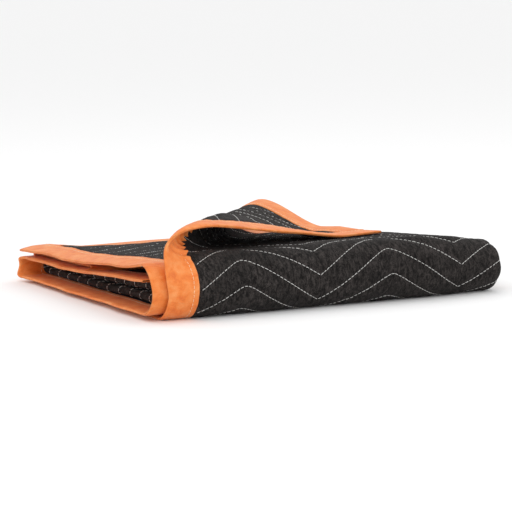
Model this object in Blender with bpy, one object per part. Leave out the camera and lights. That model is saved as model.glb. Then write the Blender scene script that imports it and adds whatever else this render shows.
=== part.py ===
# A quilted moving pad, folded up, with one corner of its outermost layer peeled back.
#
# The pad is one quilted cloth with a wrapped binding along each of its four edges. It is
# folded in half twice across, which makes a strip of four layers, and the strip is folded
# in three into a flat spiral. Every piece is made from one map, which takes a place on the
# open cloth to its place in the folds: "across" runs from the outer side edge to the inner
# side edge, "along" from the inner end to the outer end, and "lift" outward from the
# middle of the cloth.
#
# Frame: +X from the open left end to the folded right end, +Y from the front to the back,
# +Z up. The origin is under the middle of the pad, on the surface that it rests on.

import bpy
import bmesh
import numpy as np
from math import pi, radians

# Quilting: zigzag rows of stitching that run across the cloth
zigzag_length = 0.221
zigzag_rise = 0.0665
row_spacing = 0.0367
first_row = 0.0317

# The folded pad
run_length = 0.5145
folded_depth = 0.50
pitch_front = 0.0075
pitch_back = 0.0044

# The cloth, and what is sewn round its edges
cloth_thickness = 0.0037
puff_height = 0.0006
groove_depth = 0.0007
bound_thickness = 0.0014
binding_width = 0.043
binding_thickness = 0.0006
gap = 0.0003
step_width = 0.003

# Where the layers end: at the left, from the outer side edge, and at the back of the top
fold_inset = 0.020
inner_side_inset = -0.020
outer_end_inset = 0.078
inner_layers_inset = 0.010

# The inner side edge sags where it sticks out over the folds on the top
edge_sag_front = 0.010
edge_sag_back = 0.004
corner_sag = 0.004
corner_sag_length = 0.080

# The corner peeled back: it rolls over a line from the front left to the back
roll_angle = radians(51.0)
roll_start = 0.070
roll_radius_front = 0.0172
roll_radius_back = 0.0257
roll_drop = radians(10.6)

# The tucked corner of the middle layer at the left end
tuck_length = 0.21
tuck_depth = 0.075
tuck_reach = 0.30
tuck_slope = 0.06

# The layers lie looser at the back of the left end
loose_share = 0.20
loose_width = zigzag_length / 3
loose_length = 0.16

# Soft rounding of the folded right end
taper_start = zigzag_length * 22 / 12
taper_middle = zigzag_length * 25 / 12
taper_middle_share = 0.42
taper_drop = 0.17
taper_back = 0.010

layers = 4
half_cloth = cloth_thickness / 2
front_radius = (3 * layers - 1) / 2 * pitch_front
back_radius = (2 * layers - 1) / 2 * pitch_back
front_centre = front_radius + half_cloth
back_centre = folded_depth - back_radius - half_cloth
mean_pitch = (pitch_front + pitch_back) / 2

across_parts = {
    "outer_run": run_length,
    "outer_fold": 1.5 * pi * mean_pitch,
    "second_run": run_length - fold_inset,
    "left_fold": 0.5 * pi * mean_pitch,
    "third_run": run_length - fold_inset,
    "inner_fold": 0.5 * pi * mean_pitch,
    "inner_run": run_length - inner_side_inset,
}
along_parts = {
    "middle_arm": back_centre - front_centre,
    "back_bend": pi * back_radius,
    "bottom_arm": back_centre - front_centre,
    "front_bend": pi * front_radius,
    "top_arm": folded_depth - outer_end_inset - front_centre,
}


def starts_of(parts):
    """Give where each part of the path starts, and the path's whole length."""
    starts = {}
    total = 0.0
    for name, length in parts.items():
        starts[name] = total
        total += length
    return starts, total


across_start, cloth_across = starts_of(across_parts)
along_start, cloth_along = starts_of(along_parts)


def smooth(t):
    t = np.clip(t, 0.0, 1.0)
    return t * t * (3.0 - 2.0 * t)


def pitch_at(y):
    return pitch_front + (pitch_back - pitch_front) * np.clip(
        (y - front_centre) / (back_centre - front_centre), 0.0, 1.0)


def section(across, pitch):
    """Place a point of the strip's section: x, and how many layers in it lies."""
    def part(name):
        return across >= across_start[name]

    def share(name):
        return (across - across_start[name]) / across_parts[name] * pi

    x = across.copy()
    layer = np.zeros_like(across)
    turn = share("outer_fold")
    x = np.where(part("outer_fold"), run_length + 1.5 * pitch * np.sin(turn), x)
    layer = np.where(part("outer_fold"), 1.5 - 1.5 * np.cos(turn), layer)
    x = np.where(part("second_run"), run_length - (across - across_start["second_run"]), x)
    layer = np.where(part("second_run"), 3.0, layer)
    turn = share("left_fold")
    x = np.where(part("left_fold"), fold_inset - 0.5 * pitch * np.sin(turn), x)
    layer = np.where(part("left_fold"), 2.5 + 0.5 * np.cos(turn), layer)
    x = np.where(part("third_run"), fold_inset + across - across_start["third_run"], x)
    layer = np.where(part("third_run"), 2.0, layer)
    turn = share("inner_fold")
    x = np.where(part("inner_fold"), run_length + 0.5 * pitch * np.sin(turn), x)
    layer = np.where(part("inner_fold"), 1.5 + 0.5 * np.cos(turn), layer)
    x = np.where(part("inner_run"), run_length - (across - across_start["inner_run"]), x)
    layer = np.where(part("inner_run"), 1.0, layer)
    return x, layer


def spiral(along, layer):
    """Place a point of the three-fold spiral: y, z and the outward direction there."""
    y = front_centre + along
    level = 2 * layers - 1 - layer
    z = half_cloth + level * pitch_at(y)
    out_y = np.zeros_like(along)
    out_z = np.ones_like(along)

    bend = along >= along_start["back_bend"]
    turn = (along - along_start["back_bend"]) / back_radius
    radius = (3.5 - layer) * pitch_back
    y = np.where(bend, back_centre + radius * np.sin(turn), y)
    z = np.where(bend, half_cloth + 3.5 * pitch_back + radius * np.cos(turn), z)
    out_y = np.where(bend, np.sin(turn), out_y)
    out_z = np.where(bend, np.cos(turn), out_z)

    arm = along >= along_start["bottom_arm"]
    arm_y = back_centre - (along - along_start["bottom_arm"])
    y = np.where(arm, arm_y, y)
    z = np.where(arm, half_cloth + layer * pitch_at(arm_y), z)
    out_y = np.where(arm, 0.0, out_y)
    out_z = np.where(arm, -1.0, out_z)

    bend = along >= along_start["front_bend"]
    turn = (along - along_start["front_bend"]) / front_radius
    radius = (5.5 - layer) * pitch_front
    y = np.where(bend, front_centre - radius * np.sin(turn), y)
    z = np.where(bend, half_cloth + 5.5 * pitch_front - radius * np.cos(turn), z)
    out_y = np.where(bend, -np.sin(turn), out_y)
    out_z = np.where(bend, -np.cos(turn), out_z)

    arm = along >= along_start["top_arm"]
    reach = 1.0 + np.clip(layer, 0, 1) * (outer_end_inset - inner_layers_inset) / along_parts["top_arm"]
    arm_y = front_centre + (along - along_start["top_arm"]) * reach
    level = 3 * layers - 1 - layer
    y = np.where(arm, arm_y, y)
    z = np.where(arm, half_cloth + level * pitch_at(arm_y), z)
    out_y = np.where(arm, 0.0, out_y)
    out_z = np.where(arm, 1.0, out_z)
    return y, z, out_y, out_z


def roll(x, along):
    """Roll the outer layer's corner over: new x, new along and the height above the layer."""
    first = along_start["top_arm"] - roll_start
    up = along - first
    far = -x * np.sin(roll_angle) + up * np.cos(roll_angle)
    line = x * np.cos(roll_angle) + up * np.sin(roll_angle)
    longest = (cloth_along - first) / np.sin(roll_angle)
    radius = roll_radius_front + (roll_radius_back - roll_radius_front) * np.clip(line / longest, 0, 1)
    wrap = pi + roll_drop
    turn = np.clip(far / radius, 0.0, wrap)
    past = np.maximum(far - wrap * radius, 0.0)
    side = -radius * np.sin(turn) + past * np.cos(roll_drop)
    height = radius * (1.0 - np.cos(turn)) - past * np.sin(roll_drop)
    rolled = far > 0.0
    new_x = np.where(rolled, line * np.cos(roll_angle) + side * np.sin(roll_angle), x)
    new_up = np.where(rolled, line * np.sin(roll_angle) - side * np.cos(roll_angle), up)
    return new_x, first + new_up, np.where(rolled, height, 0.0)


def middle_of_cloth(across, along):
    """Give the place of the cloth's middle surface, before it is centred on the origin."""
    outer = across < across_start["outer_fold"]
    rough_y = spiral(along, np.zeros_like(along))[0]
    x, layer = section(across, pitch_at(rough_y))

    tuck = smooth((tuck_length - along) / tuck_slope) * np.clip(1.0 - across / tuck_reach, 0.0, 1.1)
    x = x + np.where(outer, tuck_depth * tuck, 0.0)

    top_side = outer & (along > along_start["front_bend"])
    rolled_x, rolled_along, height = roll(x, along)
    x = np.where(top_side, rolled_x, x)
    path = np.where(top_side, rolled_along, along)
    height = np.where(top_side, height, 0.0)

    y, z, out_y, out_z = spiral(path, layer)
    on_top = (across > across_start["inner_run"]) & (along > along_start["top_arm"])
    inward = cloth_across - across
    to_edge = np.clip(1.0 - inward / binding_width, 0.0, 1.0)
    start_in = np.clip((along - along_start["top_arm"]) / 0.037, 0.0, 1.0)
    back = (along - along_start["top_arm"]) / along_parts["top_arm"]
    sag = start_in * (edge_sag_front + (edge_sag_back - edge_sag_front) * back)
    to_corner = np.clip(1.0 - (cloth_along - along) / corner_sag_length, 0.0, 1.0)
    z = z - np.where(on_top, to_edge * (sag + corner_sag * to_corner), 0.0)
    stand_up = smooth(height / roll_radius_back)
    y = y + height * out_y * (1.0 - stand_up)
    z = z + height * (out_z * (1.0 - stand_up) + stand_up)

    end = np.interp(x, (taper_start, taper_middle, run_length), (0.0, taper_middle_share, 1.0))
    loose = np.clip(1.0 - x / loose_width, 0.0, 1.0)
    loose *= np.clip((y - back_centre) / loose_length + 1.0, 0.0, 1.0)
    z = half_cloth + (z - half_cloth) * (1.0 - taper_drop * end + loose_share * loose)
    y = y + taper_back * end * (1.0 - y / folded_depth)
    return np.stack([x, y, z], axis=-1)


def place(across, along, lift):
    """Give the place in the folded pad of a point of the open cloth."""
    across = np.asarray(across, dtype=float)
    along = np.asarray(along, dtype=float)
    lift = np.asarray(lift, dtype=float)
    step = 0.0004
    point = middle_of_cloth(across, along)
    ahead = middle_of_cloth(across + step, along) - middle_of_cloth(across - step, along)
    aside = middle_of_cloth(across, along + step) - middle_of_cloth(across, along - step)
    normal = np.cross(ahead, aside)
    normal /= np.linalg.norm(normal, axis=-1, keepdims=True)
    right_end = run_length + 1.5 * pitch_front + half_cloth
    centre = np.array([(right_end + inner_side_inset) / 2, folded_depth / 2, 0.0])
    return point + normal * lift[..., None] - centre


def zigzag(across):
    """Give a row's offset along the cloth: a valley at the outer side edge, then a peak."""
    phase = across / zigzag_length % 1.0
    wave = 1.0 - 4.0 * np.abs(phase - 0.5)
    return np.where(across <= run_length, zigzag_rise / 2 * wave, 0.0)


def row_lines():
    """Give the straight and the zigzag stations along the cloth, with each one's puff.

    The hidden arms have a few straight stations. The outermost arm and the front bend
    follow the rows of stitching: a groove at each row and a crest between two rows.
    """
    thick_start = binding_width + step_width
    plain = [0.0, binding_width, thick_start, 0.13, tuck_length - tuck_slope, tuck_length]
    plain += [along_start["back_bend"] - loose_length, along_start["back_bend"] - loose_length / 2]
    plain += list(np.linspace(along_start["back_bend"], along_start["bottom_arm"], 9))
    plain += [along_start["bottom_arm"] + loose_length / 2, along_start["bottom_arm"] + loose_length]
    plain += [along_start["bottom_arm"] + 0.28]
    stations = [(value, 0.0, 0.0) for value in plain]

    first = along_start["front_bend"]
    last = cloth_along - thick_start
    bend_end = along_start["top_arm"]
    rows = int((last - first - first_row) / row_spacing) + 1
    stations += [(first, 0.0, 0.0), (first + first_row / 2, 0.0, puff_height)]
    for row in range(rows):
        base = first + first_row + row * row_spacing
        parts = 4 if base < bend_end else 2
        for part in range(parts):
            share = part / parts
            value = base + share * row_spacing
            if value > last - 0.006:
                continue
            sway = smooth((value - first) / 0.08) * smooth((last - value) / 0.08)
            puff = -groove_depth if part == 0 else puff_height * np.sin(pi * share) ** 0.5
            stations.append((value, float(sway), float(puff)))
    stations += [(last, 0.0, 0.0), (cloth_along - binding_width, 0.0, 0.0), (cloth_along, 0.0, 0.0)]
    return stations


def fold_stations(name, pieces):
    start = across_start[name]
    return list(np.linspace(start, start + across_parts[name], pieces + 1))


def across_lines():
    """Give the coarse stations across the cloth, and the fine ones of its outer layer."""
    thick_start = binding_width + step_width
    fine_step = zigzag_length / 12
    steps = [step * fine_step for step in range(4, round(run_length / fine_step))]
    stops = [steps[0], steps[11], steps[18], steps[21]]
    back_from_fold = [run_length - stop for stop in reversed(stops)]

    coarse = [0.0, binding_width, thick_start] + stops + fold_stations("outer_fold", 6)
    coarse += [across_start["second_run"] + value for value in back_from_fold]
    coarse += fold_stations("left_fold", 4)
    coarse += [across_start["inner_fold"] - value for value in reversed(back_from_fold)]
    coarse += fold_stations("inner_fold", 4)
    coarse += [across_start["inner_run"] + value for value in back_from_fold]
    coarse += [cloth_across - thick_start, cloth_across - binding_width, cloth_across]

    fine = [0.0, binding_width, thick_start] + steps + fold_stations("outer_fold", 6)
    return coarse, fine


stations = row_lines()
coarse_across, fine_across = across_lines()
fine_first = [value for value, sway, puff in stations].index(along_start["front_bend"])
fine_end = across_start["second_run"]


def half_thickness(across, index, outer_face):
    """Give half the cloth's thickness at a station, on its outer or its inner face."""
    value, sway, puff = stations[index]
    bound = binding_width + 1e-6
    if across < bound or across > cloth_across - bound:
        return bound_thickness / 2
    if value < bound or value > cloth_along - bound:
        return bound_thickness / 2
    if outer_face and across < fine_end and index >= fine_first:
        return half_cloth + puff
    return half_cloth


def along_at(across, index):
    """Give a station's place along the cloth, which stays level under the side binding."""
    value, sway, puff = stations[index]
    return value + sway * float(zigzag(np.float64(max(across, binding_width + step_width))))


def cell_corners():
    """List the cloth's cells as polygons of (across, station) corners.

    A coarse cell that borders the fine stretch also holds the fine corners on its sides.
    """
    cells = []
    last = len(stations) - 1
    for index in range(last):
        fine = index >= fine_first
        row = list(coarse_across)
        if fine:
            row = sorted(set(fine_across) | {value for value in coarse_across if value > fine_end})
        for start, end in zip(row[:-1], row[1:]):
            polygon = [(start, index), (end, index), (end, index + 1), (start, index + 1)]
            if not fine and index + 1 == fine_first and end <= fine_end + 1e-9:
                between = [value for value in fine_across if start + 1e-9 < value < end - 1e-9]
                top = [(value, index + 1) for value in reversed(between)]
                polygon = polygon[:3] + top + polygon[3:]
            cells.append(polygon)
    return cells


def triangles_of(polygon):
    """Cut a cell into triangles, always from the same corner, so that pieces match."""
    if len(polygon) == 4:
        a, b, c, d = polygon
        return [(a, b, c), (a, c, d)]
    fan = []
    for second, third in zip(polygon[1:-1], polygon[2:]):
        fan.append((polygon[0], second, third))
    return fan


def finish_object(name, points, faces, material):
    mesh = bpy.data.meshes.new(name)
    mesh.from_pydata([tuple(point) for point in points], [], faces)
    mesh.validate()
    piece = bpy.data.objects.new(name, mesh)
    bpy.context.collection.objects.link(piece)
    mesh.materials.append(material)
    edit = bmesh.new()
    edit.from_mesh(mesh)
    bmesh.ops.recalc_face_normals(edit, faces=edit.faces)
    edit.to_mesh(mesh)
    edit.free()
    mesh.shade_smooth()
    mesh.set_sharp_from_angle(angle=radians(50.0))
    return piece


def make_panel(material):
    """Make the quilted cloth: two faces a cloth's thickness apart, closed at the edges."""
    cells = cell_corners()
    corners = sorted({corner for polygon in cells for corner in polygon}, key=lambda c: (c[1], c[0]))
    order = {corner: number for number, corner in enumerate(corners)}
    across = [corner[0] for corner in corners]
    along = [along_at(*corner) for corner in corners]
    outer = place(across, along, [half_thickness(*corner, True) for corner in corners])
    inner = place(across, along, [-half_thickness(*corner, False) for corner in corners])
    points = np.concatenate([outer, inner])
    count = len(corners)

    faces = []
    sides = {}
    for polygon in cells:
        for a, b, c in triangles_of(polygon):
            faces.append((order[a], order[b], order[c]))
            faces.append((order[c] + count, order[b] + count, order[a] + count))
        ring = [order[corner] for corner in polygon]
        for a, b in zip(ring, ring[1:] + ring[:1]):
            if sides.pop((b, a), None) is None:
                sides[(a, b)] = True
    for a, b in sides:
        faces.append((b, a, a + count))
        faces.append((b, a + count, b + count))
    return finish_object("quilted_panel", points, faces, material)


binding_section = (
    # share of the width from the cloth's edge, and the lift from its middle
    ("outer_lip", 1.0, 1),
    ("outer_turn", 0.0, 1),
    ("inner_turn", 0.0, -1),
    ("inner_lip", 1.0, -1),
)


def binding_ring():
    """Give the binding's section as (distance in from the edge, lift), round its outside."""
    near = bound_thickness / 2 + gap
    far = near + binding_thickness
    ring = []
    for name, share, side in binding_section:
        ring.append((binding_width if share else -gap - binding_thickness, side * far))
    for name, share, side in reversed(binding_section):
        ring.append((binding_width if share else -gap, side * near))
    return ring


def make_strip(name, rings, rising, material):
    """Skin a closed strip over its rings, with the same cut across each cell as the cloth.

    The cloth's cells are cut from their low corner to their high one. "Rising" says that
    the strip's lip-to-edge faces run up from that low corner.
    """
    count = len(rings[0])
    points = np.concatenate(rings)
    faces = []
    for ring in range(len(rings) - 1):
        for corner in range(count):
            following = (corner + 1) % count
            a = ring * count + corner
            b = ring * count + following
            c = (ring + 1) * count + following
            d = (ring + 1) * count + corner
            lip_to_edge = corner in (0, 4)
            if lip_to_edge == rising:
                faces += [(a, b, c), (a, c, d)]
            else:
                faces += [(a, b, d), (b, c, d)]
    for first in (0, (len(rings) - 1) * count):
        half = count // 2
        for corner in range(half - 1):
            a = first + corner
            b = first + corner + 1
            c = first + count - 2 - corner
            d = first + count - 1 - corner
            faces.append((a, b, c))
            faces.append((a, c, d))
    return finish_object(name, points, faces, material)


def make_side_binding(name, inner_side, material):
    """Wrap a binding round a side edge, from one end of the cloth to the other."""
    spill = gap + binding_thickness
    rings = []
    for index in [None] + list(range(len(stations))) + [None]:
        ring = []
        for inward, lift in binding_ring():
            across = cloth_across - inward if inner_side else inward
            if index is None:
                along = -spill if not rings else cloth_along + spill
            else:
                along = along_at(across, index)
            ring.append((across, along, lift))
        rings.append(ring)
    flat = np.array(rings)
    placed = place(flat[..., 0], flat[..., 1], flat[..., 2])
    return make_strip(name, list(placed), inner_side, material)


def make_end_binding(name, outer_end, material):
    """Wrap a binding round an end of the cloth, between the two side bindings."""
    clear = binding_width + gap
    lines = coarse_across
    if outer_end:
        lines = sorted(set(fine_across) | {value for value in coarse_across if value > fine_end})
    lines = [clear] + [value for value in lines if clear < value < cloth_across - clear]
    lines.append(cloth_across - clear)
    rings = []
    for across in lines:
        ring = []
        for inward, lift in binding_ring():
            along = cloth_along - inward if outer_end else inward
            ring.append((across, along, lift))
        rings.append(ring)
    flat = np.array(rings)
    placed = place(flat[..., 0], flat[..., 1], flat[..., 2])
    return make_strip(name, list(placed), outer_end, material)


def make_material(name, colour, roughness):
    material = bpy.data.materials.new(name)
    material.use_nodes = True
    shader = material.node_tree.nodes["Principled BSDF"]
    shader.inputs["Base Color"].default_value = (*colour, 1.0)
    shader.inputs["Roughness"].default_value = roughness
    shader.inputs["Metallic"].default_value = 0.0
    material.diffuse_color = (*colour, 1.0)
    return material


def main():
    for item in list(bpy.data.objects):
        bpy.data.objects.remove(item, do_unlink=True)
    black_cloth = make_material("black quilted cloth", (0.022, 0.021, 0.021), 0.9)
    orange_tape = make_material("orange binding tape", (0.83, 0.20, 0.055), 0.7)
    make_panel(black_cloth)
    make_side_binding("binding_outer_side", False, orange_tape)
    make_side_binding("binding_inner_side", True, orange_tape)
    make_end_binding("binding_outer_end", True, orange_tape)
    make_end_binding("binding_inner_end", False, orange_tape)
    print("cloth", round(cloth_across, 3), "by", round(cloth_along, 3), "m, laid open")


main()
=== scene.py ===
from math import pi, radians, cos, sin

import bpy
import bmesh
import numpy as np
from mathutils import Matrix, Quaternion, Vector


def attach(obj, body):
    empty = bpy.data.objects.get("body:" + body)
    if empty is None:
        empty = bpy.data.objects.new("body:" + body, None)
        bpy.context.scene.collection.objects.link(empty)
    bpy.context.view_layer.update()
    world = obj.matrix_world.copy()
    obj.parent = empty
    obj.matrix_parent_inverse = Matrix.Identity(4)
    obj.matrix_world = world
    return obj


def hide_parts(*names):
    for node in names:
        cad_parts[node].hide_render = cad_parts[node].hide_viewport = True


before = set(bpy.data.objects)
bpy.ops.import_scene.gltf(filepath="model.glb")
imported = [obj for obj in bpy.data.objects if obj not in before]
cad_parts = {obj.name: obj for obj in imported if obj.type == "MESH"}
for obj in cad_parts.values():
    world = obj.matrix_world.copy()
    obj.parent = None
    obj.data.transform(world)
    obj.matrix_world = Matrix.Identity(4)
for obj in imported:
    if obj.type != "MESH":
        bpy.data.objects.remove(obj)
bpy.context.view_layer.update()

# The pad as a whole: one cloth, folded in half twice across and then in three
pad = {
    "runLength": 0.5145,  # one of the four runs across
    "foldedDepth": 0.500,
    "thickness": 0.0037,
    "pitchFront": 0.0075,  # from one layer to the next, at the front
    "pitchBack": 0.0044,
    "foldInset": 0.020,  # how far the left rolls lie in from the outer edge
    "innerSideInset": -0.020,  # below zero: the inner edge sticks out to the left
    "outerEndInset": 0.078,  # how far the top layer stops short of the back
    "innerLayersInset": 0.010,
    "zigzagLength": 0.227,
    "zigzagRise": 0.071,
    "zigzagTip": 0.035,  # how rounded the corners of the zigzag are
    "rowSpacing": 0.0367,
    "rowShift": 0.0002,
    "uneven": 0.022,  # a share of the height
    "unevenLengths": (0.29, 0.21, 0.13),
    "unevenSeed": 21,
}

# The corner that is peeled back and rolled over; the roll is given at places along its line
peel = {
    "angle": radians(51.0),
    "start": 0.070,
    "drop": radians(10.6),  # how far the roll turns past half a turn
    "places": (0.0, 0.25, 0.50, 0.85),
    "radii": (0.0182, 0.0208, 0.0215, 0.0228),
    "widths": (1.55, 1.0, 1.05, 1.6),
    "rest": 0.0062,  # how high the flap lies above its layer once it rests
    "reachFront": 0.165,
    "reachBack": 0.104,
    "reachWidth": 0.10,
    "curl": 0.007,
    "curlWidth": 0.060,
    "curlRamp": 0.060,
}

# The corner that is tucked in at the left end, and the crumple of tape that it squeezes out
tuck = {"length": 0.21, "depth": 0.075, "reach": 0.30, "slope": 0.06, "most": 1.1}
crumple = {
    "place": 0.186,
    "width": 0.018,
    "reach": 0.070,
    "pitch": 0.0125,
    "slant": 90.0,
    "out": 0.042,
    "outWave": 0.4,
    "sinks": 0.0018,
    "down": 0.0085,
    "downReach": 0.024,
    "downWave": 0.3,
}

# Looser layers at the back of the left end, fuller rolls at its front, and a lower, soft right end
loose = {"share": 0.20, "width": 0.0737, "length": 0.16}
fullness = {
    "lifts": (0.0, 0.0, 0.0008, 0.0024, 0.0040, 0.0060, 0.0075, 0.0075, 0.0052, 0.0024, 0.0, 0.0),
    "width": 0.13,
    "frontFade": 0.03,
}
taper = {
    "places": (0.405, 0.4604, 0.5145),
    "shares": (0.0, 0.42, 1.0),
    "drop": 0.17,
    "back": 0.010,
}

# How the inner side's edge droops where it lies on top
droop = {
    "front": 0.010,
    "back": 0.004,
    "corner": 0.004,
    "cornerReach": 0.08,
    "startsBefore": 0.012,
    "ramp": 0.075,
}

# How the bound edges and the rolls at the left end wander in and out
wander = {
    "rise": 0.0022,
    "lengths": (0.37, 0.19, 0.085),
    "reach": 0.16,
    "outerSeed": 3,
    "innerSeed": 5,
    "bendRise": 0.0048,  # and the shorter waves at the bend at the back
    "bendLengths": (0.029, 0.021),
    "bendSeed": 40,
    "bendPlace": 0.02,
    "bendWidth": 0.045,
    "bendReach": 0.07,
    "rollRise": 0.0025,
    "rollLengths": (0.31, 0.17, 0.09),
    "rollSeed": 11,
}

runLength = pad["runLength"]
halfCloth = pad["thickness"] / 2
frontLevel, backLevel = 5.5, 3.5  # the cloth turns round these levels of the stack
frontRadius = frontLevel * pad["pitchFront"]
backRadius = backLevel * pad["pitchBack"]
frontCentre = frontRadius + halfCloth
backCentre = pad["foldedDepth"] - backRadius - halfCloth
meanPitch = (pad["pitchFront"] + pad["pitchBack"]) / 2
rightEnd = runLength + 1.5 * pad["pitchFront"] + halfCloth
padCentre = np.array([(rightEnd + pad["innerSideInset"]) / 2, pad["foldedDepth"] / 2, 0.0])


# where each part of a path starts, how long each is, and the whole
def pathOf(parts):
    starts, total = {}, 0.0
    for name, length in parts:
        starts[name] = total
        total += length
    return starts, dict(parts), total


acrossStart, acrossLong, clothAcross = pathOf([
    ("outerRun", runLength),
    ("outerFold", 1.5 * pi * meanPitch),
    ("secondRun", runLength - pad["foldInset"]),
    ("leftFold", 0.5 * pi * meanPitch),
    ("thirdRun", runLength - pad["foldInset"]),
    ("innerFold", 0.5 * pi * meanPitch),
    ("innerRun", runLength - pad["innerSideInset"]),
])
alongStart, alongLong, clothAlong = pathOf([
    ("middleArm", backCentre - frontCentre),
    ("backBend", pi * backRadius),
    ("bottomArm", backCentre - frontCentre),
    ("frontBend", pi * frontRadius),
    ("topArm", pad["foldedDepth"] - pad["outerEndInset"] - frontCentre),
])


# a soft step from 0 to 1
def smooth(t):
    t = np.clip(t, 0.0, 1.0)
    return t * t * (3.0 - 2.0 * t)


# a soft hump
def near(value, middle, width):
    return np.exp(-((value - middle) / width) ** 2)


# add up a few slanted sine waves, for unevenness without a repeat
def ripple(a, b, seed, sizes):
    draw = np.random.default_rng(seed)
    total = np.zeros_like(a)
    for size in sizes:
        turn, shift = draw.uniform(0, 2 * pi, 2)
        total = total + np.sin(2 * pi * (a * cos(turn) + b * sin(turn)) / size + shift)
    return total / len(sizes)


# the same, along one direction only
def waver(a, seed, sizes):
    return ripple(a, a * 0, seed, sizes)


def pitchAt(y):
    return pad["pitchFront"] + (pad["pitchBack"] - pad["pitchFront"]) * np.clip(
        (y - frontCentre) / (backCentre - frontCentre), 0.0, 1.0)


# let a side edge wander in and out a little along its length; it fades inside the cloth
def edgeWander(inward, along, seed):
    fade = smooth(1.0 - inward / wander["reach"])
    bend = near(along, alongStart["backBend"] + wander["bendPlace"], wander["bendWidth"])
    atBend = bend * smooth(1.0 - inward / wander["bendReach"])
    waves = waver(along, seed + wander["bendSeed"], wander["bendLengths"])
    long = wander["rise"] * waver(along, seed, wander["lengths"])
    return fade * long + wander["bendRise"] * atBend * waves


# lay the cloth in its four layers: x, and how many layers in it lies
def section(across, along, pitch):
    def shareOf(name):
        return (across - acrossStart[name]) / acrossLong[name]

    def turnOf(name):
        return shareOf(name) * pi

    x = across + edgeWander(across, along, wander["outerSeed"])
    layer = np.zeros_like(across)

    def use(name, newX, newLayer):
        nonlocal x, layer
        here = across >= acrossStart[name]
        x = np.where(here, newX, x)
        layer = np.where(here, newLayer, layer)

    waves = waver(along, wander["rollSeed"], wander["rollLengths"])
    inset = pad["foldInset"] + wander["rollRise"] * waves
    turn = turnOf("outerFold")
    use("outerFold", runLength + 1.5 * pitch * np.sin(turn), 1.5 - 1.5 * np.cos(turn))
    use("secondRun", runLength - shareOf("secondRun") * (runLength - inset), 3.0)
    turn = turnOf("leftFold")
    use("leftFold", inset - 0.5 * pitch * np.sin(turn), 2.5 + 0.5 * np.cos(turn))
    use("thirdRun", inset + shareOf("thirdRun") * (runLength - inset), 2.0)
    turn = turnOf("innerFold")
    use("innerFold", runLength + 0.5 * pitch * np.sin(turn), 1.5 + 0.5 * np.cos(turn))
    edgeIn = edgeWander(clothAcross - across, along, wander["innerSeed"])
    use("innerRun", runLength - (across - acrossStart["innerRun"]) + edgeIn, 1.0)
    return x, layer


# fold the strip in three: y, z and the outward direction there
def spiral(along, layer):
    y = frontCentre + along
    z = halfCloth + (2 * backLevel - layer) * pitchAt(y)
    outY = np.zeros_like(along)
    outZ = np.ones_like(along)

    def use(here, newY, newZ, newOutY, newOutZ):
        nonlocal y, z, outY, outZ
        y, z = np.where(here, newY, y), np.where(here, newZ, z)
        outY, outZ = np.where(here, newOutY, outY), np.where(here, newOutZ, outZ)

    turn = (along - alongStart["backBend"]) / backRadius
    radius = (backLevel - layer) * pad["pitchBack"]
    use(along >= alongStart["backBend"], backCentre + radius * np.sin(turn),
        halfCloth + backRadius + radius * np.cos(turn), np.sin(turn), np.cos(turn))
    armY = backCentre - (along - alongStart["bottomArm"])
    use(along >= alongStart["bottomArm"], armY, halfCloth + layer * pitchAt(armY), 0.0, -1.0)
    turn = (along - alongStart["frontBend"]) / frontRadius
    radius = (frontLevel - layer) * pad["pitchFront"]
    use(along >= alongStart["frontBend"], frontCentre - radius * np.sin(turn),
        halfCloth + frontRadius - radius * np.cos(turn), -np.sin(turn), -np.cos(turn))
    spare = (pad["outerEndInset"] - pad["innerLayersInset"]) / alongLong["topArm"]
    armY = frontCentre + (along - alongStart["topArm"]) * (1.0 + np.clip(layer, 0, 1) * spare)
    armZ = halfCloth + (2 * frontLevel - layer) * pitchAt(armY)
    use(along >= alongStart["topArm"], armY, armZ, 0.0, 1.0)
    return y, z, outY, outZ


firstPeeled = alongStart["topArm"] - peel["start"]


# how far a point lies past the line that the corner rolls over, and how far along it
def peelPlace(x, along):
    up = along - firstPeeled
    far = -x * sin(peel["angle"]) + up * cos(peel["angle"])
    line = x * cos(peel["angle"]) + up * sin(peel["angle"])
    return far, line


# roll the peeled corner over: new x, new along and the height above the layer
def roll(x, along):
    far, line = peelPlace(x, along)
    longest = (clothAlong - firstPeeled) / sin(peel["angle"])
    radius = np.interp(line / longest, peel["places"], peel["radii"])
    wide = np.interp(line / longest, peel["places"], peel["widths"])
    wrap = pi + peel["drop"]
    turn = np.clip(far / radius, 0.0, wrap)
    past = np.maximum(far - wrap * radius, 0.0)
    side = -radius * wide * np.sin(turn) + past * cos(peel["drop"])
    height = radius * (1.0 - np.cos(turn))
    # past the roll the flap falls in a soft curve and then rests on the pad
    toBack = smooth(x / peel["reachWidth"])
    reach = peel["reachFront"] + (peel["reachBack"] - peel["reachFront"]) * toBack
    fall = np.clip(past / reach, 0, 1)
    height = height - np.where(past > 0, (height - peel["rest"]) * (fall + smooth(fall)) / 2, 0.0)
    # and the band along its end curls up a little
    toEnd = np.clip(1.0 - (clothAlong - along) / peel["curlWidth"], 0, 1)
    curl = toEnd * np.clip(x / peel["curlRamp"] - 0.5, 0, 1)
    height = height + peel["curl"] * curl * np.clip(2.0 * turn / pi - 1.0, 0, 1)
    rolled = far > 0.0
    newX = np.where(rolled, line * cos(peel["angle"]) + side * sin(peel["angle"]), x)
    rolledAlong = firstPeeled + line * sin(peel["angle"]) - side * cos(peel["angle"])
    newAlong = np.where(rolled, rolledAlong, along)
    return newX, newAlong, np.where(rolled, height, 0.0)


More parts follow.
